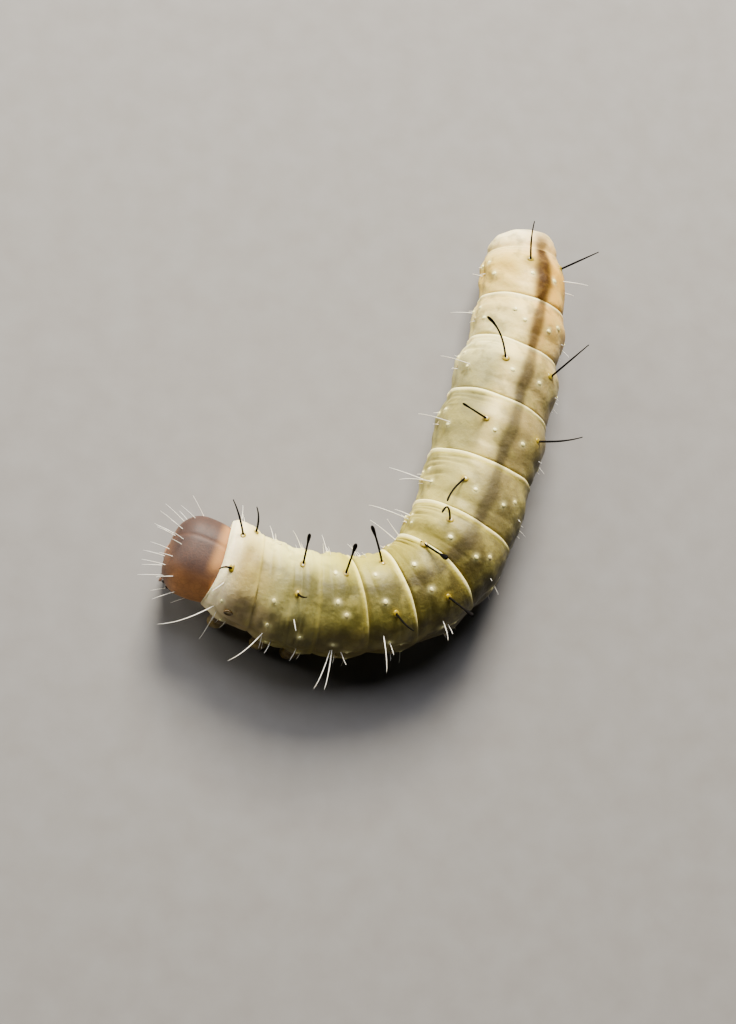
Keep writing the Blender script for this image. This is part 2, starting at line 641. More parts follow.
# How far the collar's edge is drawn back over the head, and the middle and width of that dip round the body.
COLLAR_DIP, DIP_MIDDLE, DIP_WIDTH, DIP_END = 0.3, 25, 50, 0.6
TAIL_FADE = 1.5
SEGMENT_ROWS, TAIL_ROWS, COLUMNS = 48, 40, 150
ROW_CROWDING, COLUMN_CROWDING = 0.6, 0.38
# The collar: rows that step inwards and forwards from the first one, then back into the neck.
COLLAR = ((-0.02, 0.02), (-0.1, 0.05), (-0.22, 0.04), (-0.34, -0.05), (-0.46, -0.16))
COLLAR += ((-0.62, -0.24), (-0.9, -0.3))


def collar_dip(place, around):
    """Rearward shift of the collar's edge: a bell round the body that fades out behind."""
    return COLLAR_DIP * bell(around - DIP_MIDDLE, DIP_WIDTH) * np.clip(1 - place / DIP_END, 0, 1) ** 2


def skin_surface(place, around):
    """The full surface at any places and angles: the plain oval plus every relief, then the feet.

    The numbers that the skin's colours follow are given too: glow, lip, yellow, pale and relief.
    """
    folded = place - sway(place, around)
    folds, lip, glow = fold_relief(folded, around)
    warts, yellow, pale = wart_relief(place, around)
    relief = folds + wrinkle_relief(folded, around) + flank_relief(folded, around)
    relief = relief + collar_relief(place, around) + swell_relief(place, around)
    relief = relief * np.clip(tail_share(place) * TAIL_FADE, 0, 1)
    points = plain_body(place, around) + outward(place, around) * (relief + warts)[..., None]
    points = points + rearward(place) * (LIP_LAP * lip + collar_dip(place, around))[..., None]
    points = draw_feet(points, around)
    points[..., 2] = np.maximum(points[..., 2], 0)
    return points, {"glow": glow, "lip": lip, "yellow": yellow, "pale": pale, "relief": relief}


t = np.arange(SEGMENT_ROWS) / SEGMENT_ROWS
row_share = t - ROW_CROWDING * np.sin(2 * np.pi * t) / (2 * np.pi)
trunk_rows = (np.arange(TAIL - 1)[:, None] + row_share).ravel()
closing = np.radians(np.linspace(0, 88, TAIL_ROWS))
ROW_PLACES = np.concatenate([trunk_rows, TAIL - 1 + np.sin(closing) ** (2 / TAIL_BLUNTNESS)])
turn = np.linspace(-np.pi, np.pi, COLUMNS, endpoint=False)
COLUMN_ANGLES = np.degrees(turn - COLUMN_CROWDING * np.sin(turn))
FOLDED, AROUND = np.meshgrid(ROW_PLACES, COLUMN_ANGLES, indexing="ij")
PLACE = FOLDED + sway(FOLDED, AROUND)
skin_points, skin_values = skin_surface(PLACE, AROUND)

neck = np.zeros(COLUMNS)
dip = rearward(neck) * collar_dip(neck, COLUMN_ANGLES)[:, None]
rims = [
    plain_body(neck, COLUMN_ANGLES) + outward(neck, COLUMN_ANGLES) * inwards - rearward(neck) * forwards + dip
    for inwards, forwards in COLLAR[::-1]
]
skin_points = np.concatenate([rims, skin_points])
print("skin grid:", skin_points.shape)

# %% [markdown]
# The back carries a dark line along its midline, strong and brown on the last segments and dusky further
# forwards, broken at each fold. It follows the skin's own midline, so it is a number stored on every point
# of the mesh, and the material only has to read it. So are the dark band of the back and the pale sheen
# beside the line, which follow the angle from the midline as well.

# %% The line along the back
STRIPE_HALF = np.array([0.2, 0.14, 0.14, 0.13, 0.15, 0.32, 0.38, 0.36, 0.36, 0.35, 0.33, 0.5, 0.4])
STRIPE_STRENGTH = np.array([0.0, 0.2, 0.25, 0.3, 0.35, 0.6, 0.8, 0.85, 0.9, 0.92, 0.88, 1.0, 0.75])
WHOLE_FROM = STARTS["abdomen_8"]
BACK_MIDDLE, BACK_REACH = 14, 34
SHEEN_MIDDLE, SHEEN_REACH = -22, 11


def stripe(place, around):
    """A flat-topped bell, exp(-|d / half| ** 4), over a wavy midline, fading to the rear of each segment."""
    index, share, _, _ = along_segment(place)
    wander = 0.03 * np.sin(5.5 * place) + 0.02 * np.sin(13 * place + 1)
    over = (around - roll(place)) * np.radians(1.0) * half_width(place) + wander
    half = STRIPE_HALF[index] * (0.75 + 0.4 * np.sin(np.pi * np.clip(share * 1.15, 0, 1)))
    ends = 1 - 0.3 * np.clip(share, 0, 1) ** 2 * (index < WHOLE_FROM)
    closing = np.clip((TAIL - 0.3 - place) / 0.6, 0, 1)
    return STRIPE_STRENGTH[index] * np.exp(-np.abs(over / half) ** 4) * ends * closing


skin_values |= {"place": PLACE, "stripe": stripe(FOLDED, AROUND)}
blank = np.zeros((len(COLLAR), COLUMNS))
skin_values = {key: np.concatenate([blank, grid]) for key, grid in skin_values.items()}
side = np.concatenate([blank + COLUMN_ANGLES - roll(0.0), AROUND - roll(PLACE)])
skin_values["side"] = side
skin_values["back"] = np.exp(-np.abs((side - BACK_MIDDLE) / BACK_REACH) ** 3)
skin_values["sheen"] = bell(side - SHEEN_MIDDLE, SHEEN_REACH)
print("stripe's peak:", skin_values["stripe"].max().round(2))

# %% [markdown]
# A colour like the skin's is built up in layers, as a painter lays glazes: a tint and how much of it shows.
# That share may be a plain number, a number stored on the mesh, a range of either, or soft patches, and
# where several are given they are multiplied. Fine grain is a bump instead, because it is too small to
# model.

# %% Layers, patches and grain


def share_of(tree, part):
    """A share given as a number, an output, a stored number's name, or (either of those, from, to, ...).

    The last is rescaled smoothly, from 0 at the first end to 1 at the second, or between two given shares.
    """
    if isinstance(part, str):
        return node(tree, "Attribute", attribute_name=part).outputs["Fac"]
    if not isinstance(part, tuple):
        return part
    inputs = dict(zip(("From Min", "From Max", "To Min", "To Max"), part[1:]))
    inputs["Value"] = share_of(tree, part[0])
    return node(tree, "MapRange", inputs, interpolation_type="SMOOTHSTEP").outputs["Result"]


def patches(tree, size, *levels, detail=3.0, roughness=0.5):
    """Soft patches this many millimetres across: noise on the object, rescaled where levels are given."""
    where = node(tree, "TexCoord").outputs["Object"]
    inputs = {"Vector": where, "Scale": 1 / (size * MM), "Detail": detail, "Roughness": roughness}
    cloud = node(tree, "TexNoise", inputs).outputs["Fac"]
    return share_of(tree, (cloud, *levels)) if levels else cloud


def painted(tree, colour, *layers):
    """A colour under layers of (tint, share, share, ...), each mixed in by the product of its shares."""
    for tint, *parts in layers:
        share = share_of(tree, parts[0])
        for part in parts[1:]:
            share = node(tree, "Math", {0: share, 1: share_of(tree, part)}, operation="MULTIPLY").outputs[0]
        below, tint = (linear(each) if isinstance(each, str) else each for each in (colour, tint))
        colour = node(tree, "Mix", {0: share, 6: below, 7: tint}, data_type="RGBA").outputs[2]
    return colour


def grained(tree, shader, *grains):
    """Bumps as (size, height, strength, detail) in millimetres, each one laid over those before it."""
    under = {}
    for size, height, strength, detail in grains:
        inputs = {"Height": patches(tree, size, detail=detail), "Distance": height * MM, "Strength": strength}
        under = {"Normal": node(tree, "Bump", inputs | under).outputs["Normal"]}
    tree.links.new(under["Normal"], shader.inputs["Normal"])


print("numbers stored on the skin:", ", ".join(skin_values))

# %% [markdown]
# The larva's pigment changes along the body and from side to side. So the inner flank, the back and the
# outer flank each have a ramp of colours from the neck to the tail's tip: cream and yellow on the inner
# flank, dull olive on the back, brown olive on the outer flank, and all of them warmer and lighter towards
# the tail.

# %% Pigments of the skin
# Pigment along the body as (place, colour): on the inner flank, on the back and on the outer flank.
INNER_FLANK = (
    (0.4, "#F2DE92"),
    (1.8, "#EEE894"),
    (3.6, "#B2AA42"),
    (5.6, "#887E2E"),
    (7.2, "#A89E58"),
    (8.9, "#6C6842"),
    (9.8, "#D2C88C"),
    (11.5, "#CEAC4E"),
    (12.6, "#F6EABC"),
)
BACK = (
    (0.4, "#988040"),
    (1.5, "#6A6434"),
    (2.4, "#3E3A18"),
    (4.0, "#46421F"),
    (6.0, "#3E3416"),
    (7.2, "#665C36"),
    (9.4, "#96834E"),
    (11.5, "#D8A23E"),
    (12.6, "#C0AC7C"),
)
OUTER_FLANK = (
    (0.4, "#B29C70"),
    (1.8, "#78703E"),
    (3.6, "#6C602E"),
    (6.0, "#403A1E"),
    (8.0, "#46422F"),
    (10.0, "#9A8A6A"),
    (11.5, "#B68440"),
    (12.6, "#948462"),
)
BELLY = "#8C8048"
DORSUM_OLIVE = "#4A461F"
SHEEN_CREAM = "#F2DC8C"
BLOTCH_LIGHT = "#C8BC62"
CREASE_TINT = "#6C6020"
LIP_YELLOW = "#FFEC5C"
LIP_CREAM = "#FFF3AC"
LIP_EDGE = "#FFF6B4"
LINE_BROWN = "#3E2600"
LINE_DUSKY = "#38301C"
WART_YELLOW = "#94801F"
WART_PALE = "#F8F0A8"
COLLAR_TINT = "#FFF1C0"


def along_body(tree, stops):
    """A ramp of pigments over place / 13, from the neck to the tail's tip."""
    share = node(tree, "Math", {0: share_of(tree, "place"), 1: TAIL}, operation="DIVIDE").outputs[0]
    stops = [(place / TAIL, code) for place, code in stops]
    return node(tree, "ValToRGB", {"Fac": share}, stops=stops).outputs["Color"]


print("stops of the three ramps:", [len(stops) for stops in (INNER_FLANK, BACK, OUTER_FLANK)])

# %% [markdown]
# The skin is thin, moist and waxy, and the pale flesh below it glows through, which subsurface scattering
# gives. Over the three ramps lie the belly's dull brown, soft blotches of fat body, dark creases, the
# bright lips of the folds, the brown line, the warts and the pale collar. Granules 0.07 mm across over
# shallow pleats 0.2 mm apart break up the highlights, as on satin.

# %% Skin
FLESH = [segment.name for segment in SEGMENTS]
PROLEG_KINDS = ("proleg_3", "proleg_4", "proleg_5", "proleg_6", "anal_proleg")
FLESH += [f"{kind}_{letter}" for kind in PROLEG_KINDS for letter in "lr"]

skin, tree, shader = new_material(
    "waxy_cream_skin",
    Roughness=0.52,
    Specular_IOR_Level=0.2,
    Subsurface_Weight=0.35,
    Subsurface_Radius=(1.0, 0.75, 0.35),
    Subsurface_Scale=0.22 * MM,
    Coat_Weight=0.03,
    Coat_Roughness=0.3,
)
inner, back, outer = (along_body(tree, stops) for stops in (INNER_FLANK, BACK, OUTER_FLANK))
from_top = node(tree, "Math", {0: share_of(tree, "side")}, operation="ABSOLUTE").outputs[0]
lip_tint = painted(tree, LIP_YELLOW, (LIP_CREAM, ("place", 7.5, 10.5)))
line_tint = painted(tree, LINE_DUSKY, (LINE_BROWN, ("place", 8.8, 10.6)))
blotches = patches(tree, 1.1, 0.46, 0.66, detail=4.0, roughness=0.55)
ragged = patches(tree, 0.35, 0.2, 0.6, 0.9, 1.0, detail=2.0)
colour = painted(
    tree,
    inner,
    (outer, ("side", 25.0, 58.0)),
    (back, "back", 0.92),
    (SHEEN_CREAM, "sheen", ("place", 7.2, 8.6), ("place", 11.8, 11.0, 0.0, 0.6)),
    (BELLY, (from_top, 105.0, 140.0)),
    (BLOTCH_LIGHT, blotches, 0.22),
    (DORSUM_OLIVE, patches(tree, 0.8, 0.5, 0.68), ("place", 7.5, 9.5, 0.3, 0.42)),
    (CREASE_TINT, ("relief", -0.02, -0.14), 0.45),
    (lip_tint, "glow", 0.65),
    (LIP_EDGE, ("lip", 0.25, 0.85), ("side", 72.0, 40.0), ("place", 3.5, 6.0, 0.3, 0.75)),
    (line_tint, "stripe", ragged),
    (WART_YELLOW, "yellow", 0.85),
    (WART_PALE, "pale", 0.7),
    (COLLAR_TINT, ("place", 0.7, 0.1, 0.0, 0.9)),
)
tree.links.new(colour, shader.inputs["Base Color"])
grained(tree, shader, (0.07, 0.01, 0.6, 2.0), (0.22, 0.04, 0.7, 3.0))
make_tubes("skin", skin_points[None], skin, FLESH, values=skin_values)

# %% [markdown]
# The head is a hard capsule of chitin. It is a globe whose radius follows a rounded box: nearly the same in
# every direction but fuller at the corners. It narrows towards the mouth and has a shallow seam over the
# crown, which forks on the face into the two seams that frame the forehead's triangle. The crown's seam
# leans to the larva's right, as the midline of the rings behind it does.

# %% Head capsule
HEAD_COURSE = 161.0
HEAD_AHEAD, HEAD_ASIDE, HEAD_HEIGHT = 1.0, 0.15, 2.75
HEAD_HALF = (1.5, 2.04, 1.95)
HEAD_BEHIND, HEAD_DROP = 2.4, 1.6
HEAD_FULLNESS = 2.45
MUZZLE_NARROWING, MUZZLE_REACH = 0.2, 0.1
SEAM_DEPTH, SEAM_HALF, SEAM_LEAN = 0.035, 0.1, 0.28
FORK_HEIGHT, FORK_SLOPE, FORK_DEPTH, FORK_HALF = 0.75, 0.48, 0.045, 0.05
CHEEK_SWELL, CHEEK_ASIDE, CHEEK_HALF = 0.03, 1.1, 0.35
HEAD_ROWS, HEAD_COLUMNS = 150, 180

head_turn = math.radians(HEAD_COURSE)
HEAD_AXES = np.array(
    [
        [math.cos(head_turn), math.sin(head_turn), 0.0],
        [-math.sin(head_turn), math.cos(head_turn), 0.0],
        [0.0, 0.0, 1.0],
    ]
)
HEAD_MIDDLE = np.array([*NECK, HEAD_HEIGHT]) + HEAD_AXES[0] * HEAD_AHEAD + HEAD_AXES[1] * HEAD_ASIDE


def in_head(points):
    """Points given ahead, to the left and up from the head's centre."""
    return HEAD_MIDDLE + np.asarray(points) @ HEAD_AXES


def head_surface(unit):
    """The capsule's point in each direction: radius (sum |d / half| ** n) ** (-1 / n), muzzle and seams."""
    ahead_half = np.where(unit[..., 0] > 0, HEAD_HALF[0], HEAD_BEHIND)
    up_half = np.where(unit[..., 2] > 0, HEAD_HALF[2], HEAD_DROP)
    halves = (ahead_half, HEAD_HALF[1], up_half)
    terms = [np.abs(unit[..., axis] / half) ** HEAD_FULLNESS for axis, half in enumerate(halves)]
    ahead, left, up = np.moveaxis(unit * (sum(terms) ** (-1 / HEAD_FULLNESS))[..., None], -1, 0)
    low = np.clip(-up / HEAD_DROP, 0, None)
    left = left * (1 - MUZZLE_NARROWING * low**1.5)
    ahead = ahead + MUZZLE_REACH * low * (ahead > 0)
    crown = np.clip((up - FORK_HEIGHT + 0.2) / 0.4, 0, 1) * np.clip(1.2 - np.abs(ahead) / 3, 0, 1)
    seam = bell(left + SEAM_LEAN * np.clip(up, 0, None), SEAM_HALF) * crown
    face = np.clip((ahead - 0.6) / 0.5, 0, 1) * np.clip((FORK_HEIGHT + 0.1 - up) / 0.2, 0, 1)
    fork = bell(np.abs(left) - FORK_SLOPE * np.clip(FORK_HEIGHT - up, 0, None), FORK_HALF) * face
    cheek = bell(np.abs(left) - CHEEK_ASIDE, CHEEK_HALF) * np.clip(ahead, 0, 1)
    depth = SEAM_DEPTH * seam + FORK_DEPTH * fork - CHEEK_SWELL * cheek
    return np.stack([ahead, left, up], -1) - unit * depth[..., None], seam + fork


polar = np.linspace(0.02, np.pi - 0.02, HEAD_ROWS)
spin = np.linspace(0, 2 * np.pi, HEAD_COLUMNS, endpoint=False)
POLAR, SPIN = np.meshgrid(polar, spin, indexing="ij")
unit = np.stack([-np.cos(POLAR), np.sin(POLAR) * np.cos(SPIN), -np.sin(POLAR) * np.sin(SPIN)], -1)
capsule, seams = head_surface(unit)
print("capsule from", capsule.min((0, 1)).round(2), "to", capsule.max((0, 1)).round(2))

# %% [markdown]
# Cuticle is thin, tanned and slightly glossy. The crown is a dull mauve brown, the cheeks turn orange brown
# and the rim at the neck is peach. A network of darker cells, drawn 0.28 mm wide so that it shows, lies
# under the surface, and the surface itself is faintly grained.

# %% Head material
CROWN_MAUVE = "#3A2A24"
CROWN_BLUSH = "#4C3326"
CHEEK_BROWN = "#CC8C50"
RIM_PEACH = "#9D7042"
NET_BROWN = "#5F3C28"
NET_CELL = 0.28

cuticle, tree, shader = new_material(
    "tanned_head_cuticle",
    Roughness=0.6,
    Specular_IOR_Level=0.3,
    Subsurface_Weight=0.15,
    Subsurface_Radius=(1.0, 0.5, 0.25),
    Subsurface_Scale=0.3 * MM,
    Coat_Weight=0.02,
    Coat_Roughness=0.45,
)
cells = {"Vector": node(tree, "TexCoord").outputs["Object"], "Scale": 1 / (NET_CELL * MM)}
to_edge = node(tree, "TexVoronoi", cells, feature="DISTANCE_TO_EDGE").outputs["Distance"]
colour = painted(
    tree,
    CHEEK_BROWN,
    (CROWN_MAUVE, ("crown", 0.5, 1.6)),
    (CROWN_BLUSH, patches(tree, 0.9, 0.35, 0.7), 0.35),
    (NET_BROWN, (to_edge, 0.14, 0.02), 0.16),
    (CROWN_MAUVE, ("ahead", 0.3, 1.2, 0.0, 0.8)),
    (RIM_PEACH, ("ahead", -0.45, -1.0), ("crown", 1.3, 1.8)),
    (NET_BROWN, "seam", 0.3),
)
tree.links.new(colour, shader.inputs["Base Color"])
grained(tree, shader, (0.09, 0.02, 0.5, 2.0))
ahead, left, up = np.moveaxis(capsule, -1, 0)
head_values = {"crown": up - SEAM_LEAN * left, "ahead": ahead, "seam": np.clip(seams, 0, 1)}
make_tubes("head_capsule", in_head(capsule)[None], cuticle, ["head"], values=head_values)

# %% [markdown]
# Many small parts are the same kind of tube along its own path. This function takes all paths at once, as
# an array of tubes by rows by three, and turns a ring round every point of every path.

# %% Many tubes at once


def sweep(paths, radii, columns, flat=1.0, reference=None):
    """Rings square to each path: path + radius * (cos a * across + flat * sin a * over)."""
    ahead = np.gradient(paths, axis=1)
    ahead /= np.linalg.norm(ahead, axis=-1, keepdims=True)
    if reference is None:
        chord = np.abs(paths[:, -1] - paths[:, 0])
        reference = np.eye(3)[np.argmin(chord, axis=1)]
    across = np.cross(ahead, np.broadcast_to(reference, (len(paths), 3))[:, None, :])
    across /= np.linalg.norm(across, axis=-1, keepdims=True)
    over = np.cross(across, ahead)
    radii = np.broadcast_to(radii, paths.shape[:2])
    angle = 2 * np.pi * np.arange(columns) / columns
    side = across[:, :, None, :] * np.cos(angle)[:, None]
    rise = over[:, :, None, :] * np.sin(angle)[:, None] * np.broadcast_to(flat, radii.shape)[..., None, None]
    return paths[:, :, None, :] + radii[..., None, None] * (side + rise)


straight = np.linspace(0, 1, 3)[None, :, None] * UP
print("a tube of 3 rows and 4 columns:", sweep(straight, 1.0, 4).shape)

# %% [markdown]
# Six simple eyes sit low on each cheek, five on an arc and one behind it. Each is a clear dome over a dark
# cup, so it is a small ball sunk half way into the capsule, and nearly black and very glossy.

# %% Simple eyes
EYE_RADIUS = 0.13
EYE_AZIMUTH, EYE_ELEVATION = 58, -24
EYE_ARC, EYE_ARC_ANGLES = 13, (-80, -35, 10, 55, 100)
LENS_DARK, LENS_RIM = "#0B0705", "#3A2214"


def azimuth_direction(azimuth, elevation):
    """Unit direction in the head's axes from an azimuth, to the left of straight ahead, and an elevation."""
    a, e = np.radians(azimuth), np.radians(elevation)
    return np.stack([np.cos(e) * np.cos(a), np.cos(e) * np.sin(a), np.sin(e)], -1)


def balls(middles, radius, rows=9, columns=16):
    """Spheres as tubes: the radius of each row is that of the ball at its height."""
    polar = np.linspace(0.12, np.pi - 0.12, rows)
    return sweep(middles[:, None] - np.cos(polar)[:, None] * UP * radius, np.sin(polar) * radius, columns)


glass, tree, shader = new_material("eye_lens", Roughness=0.08, Coat_Weight=0.6, Coat_Roughness=0.05)
facing = node(tree, "LayerWeight", {"Blend": 0.4}).outputs["Facing"]
tree.links.new(painted(tree, LENS_DARK, (LENS_RIM, facing)), shader.inputs["Base Color"])
arc = np.radians(EYE_ARC_ANGLES)
azimuths = np.append(EYE_AZIMUTH - EYE_ARC * np.sin(arc), EYE_AZIMUTH + EYE_ARC * 1.5)
elevations = np.append(EYE_ELEVATION + EYE_ARC * np.cos(arc), EYE_ELEVATION - EYE_ARC * 0.5)
units = azimuth_direction(np.concatenate([azimuths, -azimuths]), np.tile(elevations, 2))
eye_middles = in_head(head_surface(units)[0] - 0.02 * units)
make_tubes("eyes", balls(eye_middles, EYE_RADIUS), glass, ["head"])

# %% [markdown]
# All the other hard parts are chitin, which is darkest where it is thickest. One function makes each kind
# of it: two browns that drift into each other in patches, under a faint gloss with fine grain.

# %% Chitin


def marbled(tree, shader, size, stops, detail=3.0):
    """A base colour that drifts along a ramp of (level, hex) pairs in patches of this size in millimetres."""
    ramp = node(tree, "ValToRGB", {"Fac": patches(tree, size, detail=detail)}, stops=stops)
    tree.links.new(ramp.outputs["Color"], shader.inputs["Base Color"])


def chitin(name, dark, light, size, roughness, gloss=0.3, shine=0.5):
    """Hard chitin, darker in patches of this size in millimetres."""
    sheen = {"Coat_Weight": gloss, "Coat_Roughness": 0.15, "Specular_IOR_Level": shine}
    material, tree, shader = new_material(name, Roughness=roughness, **sheen)
    marbled(tree, shader, size, ((0.36, dark), (0.66, light)))
    grained(tree, shader, (0.06, 0.012, 0.5, 2.0))
    return material


jaw_chitin = chitin("black_jaw_chitin", "#1A0D08", "#4A2616", 0.5, 0.25)
lip_chitin = chitin("brown_lip_chitin", "#7A4C2C", "#B5815A", 0.4, 0.35)
amber_chitin = chitin("amber_leg_chitin", "#5E4A1E", "#A08A48", 0.5, 0.38)
print("kinds of chitin:", [material.name for material in (jaw_chitin, lip_chitin, amber_chitin)])

# %% [markdown]
# Below the forehead hangs the face plate, with the upper lip notched at its middle. Two dark jaws meet
# under it, and behind them is the lower lip. All are stacks of level rings, so a list of rings, each a
# centre and two half sizes, is turned into one smooth tube by the same curve that carries the trunk.

# %% Mouth parts
FACE_PLATE = (
    ((1.10, 0.0, 0.02), 0.22, 0.10),
    ((1.19, 0.0, -0.20), 0.34, 0.36),
    ((1.2, 0.0, -0.45), 0.4, 0.52),
    ((1.18, 0.0, -0.72), 0.42, 0.64),
    ((1.15, 0.0, -0.86), 0.38, 0.60),
)
UPPER_LIP = (
    ((1.06, 0.0, -0.86), 0.30, 0.44),
    ((1.11, 0.0, -0.98), 0.37, 0.52),
    ((1.09, 0.0, -1.22), 0.38, 0.52),
    ((1.05, 0.0, -1.42), 0.32, 0.42),
    ((1.02, 0.0, -1.48), 0.22, 0.28),
)
JAW = (
    ((0.78, 0.5, -0.85), 0.34, 0.34),
    ((0.86, 0.55, -1.2), 0.42, 0.40),
    ((0.98, 0.52, -1.6), 0.4, 0.36),
    ((1.1, 0.45, -1.98), 0.32, 0.28),
    ((1.18, 0.36, -2.28), 0.2, 0.16),
)
LOWER_LIP = (
    ((0.1, 0.0, -0.9), 0.5, 0.7),
    ((0.1, 0.0, -1.4), 0.52, 0.72),
    ((0.12, 0.0, -1.8), 0.45, 0.62),
    ((0.24, 0.0, -2.15), 0.26, 0.34),
    ((0.34, 0.0, -2.3), 0.12, 0.12),
    ((0.38, 0.0, -2.45), 0.06, 0.06),
)
STACK_ROWS, STACK_COLUMNS = 28, 32
LIP_NOTCH, NOTCH_HALF = 0.14, 0.12
SIDES = (("l", 1), ("r", -1))


def make_stack(name, rings, material, stands_for, side=1, notch=0.0):
    """A tube of level ovals through the rings, whose centres and half sizes follow one curve through them."""
    table = np.array([[*middle, *halves] for middle, *halves in rings]) * [1, side, 1, 1, 1]
    oval = curve_through(table, np.linspace(0, len(rings) - 1, STACK_ROWS))[:, None]
    angle = 2 * np.pi * np.arange(STACK_COLUMNS) / STACK_COLUMNS
    ahead = oval[..., 0] + oval[..., 3] * np.cos(angle)
    left = oval[..., 1] + oval[..., 4] * np.sin(angle)
    lift = notch * bell(left, NOTCH_HALF) * np.linspace(0, 1, STACK_ROWS)[:, None] ** 4
    grid = in_head(np.stack([ahead, left, oval[..., 2] + lift], -1))
    make_tubes(name, grid[None], material, [stands_for])


make_stack("face_plate", FACE_PLATE, lip_chitin, "head")
make_stack("upper_lip", UPPER_LIP, lip_chitin, "head", notch=LIP_NOTCH)
make_stack("lower_lip", LOWER_LIP, lip_chitin, "labium")
for letter, side in SIDES:
    make_stack(f"jaw_{letter}", JAW, jaw_chitin, f"mandible_{letter}", side)

# %% [markdown]
# A short antenna stands beside each jaw, and a feeler on each side of the lower lip. Both are rows of
# joints that grow thinner outwards, so each is one straight tube whose radius dips at every joint.

# %% Antennae and feelers
# at and heading in the head's axes on the left side, then the lengths and radii of the joints from the root.
Feeler = namedtuple("Feeler", "kind at heading lengths radii")
FEELERS = (
    Feeler("antenna", (0.8, 0.95, -0.7), (0.5, 0.3, -0.8), (0.45, 0.28, 0.2, 0.12), (0.25, 0.18, 0.13, 0.07)),
    Feeler("palp", (0.3, 0.6, -1.6), (0.2, 0.15, -0.93), (0.25, 0.25, 0.2, 0.12), (0.24, 0.2, 0.14, 0.08)),
)
FEELER_ROWS = 40
JOINT_WAIST = 0.72


def feeler_grid(feeler, side):
    """The feeler's tube: each joint's radius * (waist + (1 - waist) * sin(pi * share) ** 0.4) along it."""
    lengths, ends = np.array(feeler.lengths), np.cumsum(feeler.lengths)
    steps = np.linspace(0, ends[-1], FEELER_ROWS)
    joint = np.clip(np.searchsorted(ends, steps), 0, len(ends) - 1)
    share = np.clip((steps - ends[joint] + lengths[joint]) / lengths[joint], 0, 1)
    radius = np.array(feeler.radii)[joint] * (JOINT_WAIST + (1 - JOINT_WAIST) * np.sin(np.pi * share) ** 0.4)
    at, heading = np.array([feeler.at, feeler.heading]) * [1, side, 1]
    path = in_head(at + steps[:, None] * heading / np.linalg.norm(heading))
    return sweep(path[None], radius, 16)


for feeler in FEELERS:
    for letter, side in SIDES:
        stands_for = f"antenna_{letter}" if feeler.kind == "antenna" else "labium"
        name = f"{feeler.kind}_joints_{letter}"
        make_tubes(name, feeler_grid(feeler, side), lip_chitin, [stands_for])

# %% [markdown]
# Three pairs of true legs stand close behind the head. Each is a short cone of amber joints that bends
# forwards and ends in one hooked claw. The joints show as narrow waists along a single curved tube.

# %% Legs and claws
# height over the floor, distance from the midline, distance ahead of the leg's place, and radius
LEG_MARKS = np.array(
    [
        (2.0, 1.15, -0.1, 0.6),
        (1.2, 1.75, 0.0, 0.52),
        (0.85, 2.0, 0.1, 0.42),
        (0.5, 2.02, 0.22, 0.33),
        (0.25, 1.9, 0.36, 0.24),
        (0.06, 1.8, 0.5, 0.05),
    ]
)
LEG_JOINTS = (0.34, 0.58, 0.78, 0.93)
LEG_WAIST, LEG_WAIST_REACH = 0.2, 0.022
LEG_PLACE = 0.5
LEG_ROWS = 44
LEG_SMOOTHING = np.array([1, 3, 4, 3, 1]) / 12


def leg_grid(number, side):
    """A path through the marks, smoothed by a running mean, with a dip in its radius at each joint."""
    place = STARTS[f"thorax_{number}"] + LEG_PLACE
    root, left, rear = curve_through(FOLDS, place), leftward(place), rearward(place)
    steps = np.linspace(0, 1, LEG_ROWS)
    marks = [np.interp(steps, np.linspace(0, 1, len(LEG_MARKS)), column) for column in LEG_MARKS.T]
    height, away, ahead = (
        np.convolve(np.pad(line, 2, mode="edge"), LEG_SMOOTHING, mode="valid")[:, None] for line in marks[:3]
    )
    path = np.array([*root, 0]) + left * (side * away) - rear * ahead + UP * height
    radius = marks[3]
    for joint in LEG_JOINTS:
        radius = radius * (1 - LEG_WAIST * bell(steps - joint, LEG_WAIST_REACH))
    grid = sweep(path[None], radius, 24, reference=rear)
    grid[..., 2] = np.maximum(grid[..., 2], 0)
    return grid


for number in (1, 2, 3):
    for letter, side in SIDES:
        leg = f"leg_{number}_{letter}"
        make_tubes(f"{leg}_joints", leg_grid(number, side), amber_chitin, [leg])

# %% [markdown]
# Each proleg holds on with a row of tiny hooks along the inner edge of its sole. They are brown chitin,
# each a short curved tube that starts on the foot's wall and ends beside the sole, just over the floor.

# %% Hooks of the prolegs
HOOKS, HOOK_ARC = 15, 75
SOLE_RADIUS = 0.5
# distance from the foot's axis in sole radii, height over the floor in millimetres, and radius
HOOK_MARKS = np.array([(0.86, 0.30, 0.03), (1.02, 0.22, 0.028), (1.12, 0.12, 0.02), (1.06, 0.04, 0.006)])

angle = np.radians(np.linspace(-HOOK_ARC, HOOK_ARC, HOOKS))[:, None]
hook_paths = []
for foot in FEET:
    axis, left, rear = foot_axes(foot)
    spoke = -foot.side * left * np.cos(angle) + rear * np.sin(angle)
    outwards = spoke[:, None] * HOOK_MARKS[:, :1] * SOLE_RADIUS
    hook_paths.append(np.array([*axis, 0]) + outwards + UP * HOOK_MARKS[:, 1:2])
hook_grid = sweep(np.concatenate(hook_paths), HOOK_MARKS[:, 2], 6, reference=UP)
make_tubes("proleg_hooks", hook_grid, amber_chitin, FLESH[len(SEGMENTS) :])

# %% [markdown]
# Bristles, hairs and warts all grow from the skin, so they share a few helpers: which way a bristle heads
# from a place and an angle on the skin, how it curves, and where its root is on the unrolled skin's map.

# %% Places and headings on the skin


